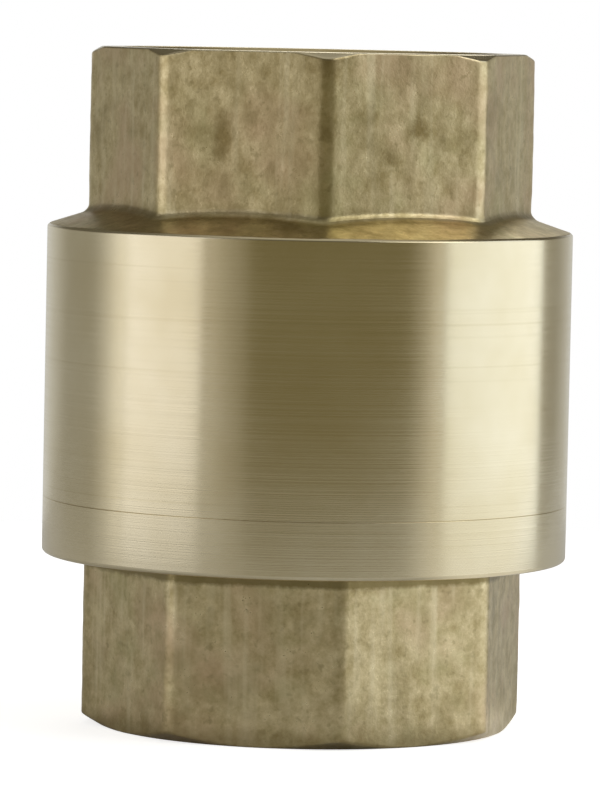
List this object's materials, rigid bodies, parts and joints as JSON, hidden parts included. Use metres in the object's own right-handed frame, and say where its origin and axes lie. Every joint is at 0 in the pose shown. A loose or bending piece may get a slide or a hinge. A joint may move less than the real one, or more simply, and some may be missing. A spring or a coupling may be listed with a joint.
{
  "type": "non-return valve",
  "caption": "In-line spring check valve with female pipe threads, octagonal wrench ends and a round drum that holds a soft-seated disc lifting in the flow direction.",
  "frame": {"origin": "centre of the inlet end face, which the valve stands on", "axes": "+Z along the flow, from the inlet to the outlet; -Y towards one upright edge of the outlet octagon"},
  "size_m": [0.07, 0.07, 0.09],
  "materials": {
    "body_brass": "drum turned, wrench end and shoulder forged and shot-blasted",
    "connector_brass": "flange turned, wrench end forged and shot-blasted",
    "disc_brass": "fine turned",
    "guide_brass": "turned rim and hub, blasted arms",
    "o_ring_rubber": "smooth moulded nitrile rubber",
    "seal_rubber": "matt moulded nitrile rubber",
    "stem_steel": "ground stainless steel",
    "fastener_steel": "bright stainless steel",
    "spring_steel": "drawn stainless wire and strip",
    "bush_plastic": "matt machined plastic"
  },
  "bodies": {
    "housing": {"body": "body_brass", "end_connector": "connector_brass", "body_o_ring": "o_ring_rubber", "outlet_guide": "guide_brass", "guide_bush": "bush_plastic", "guide_circlip": "spring_steel", "return_spring": "spring_steel"},
    "poppet": {"valve_disc": "disc_brass", "seal_ring": "seal_rubber", "seal_retainer": "disc_brass", "lock_washer": "fastener_steel", "retaining_nut": "fastener_steel", "valve_stem": "stem_steel"}
  },
  "joints": [
    {"name": "disc_lift", "type": "slide", "parent": "housing", "child": "poppet", "axis": [0, 0, 1], "range_m": [0, 0.0095], "stiffness_N_per_m": 460, "springref_m": -0.0065, "deforming": ["return_spring"]}
  ]
}
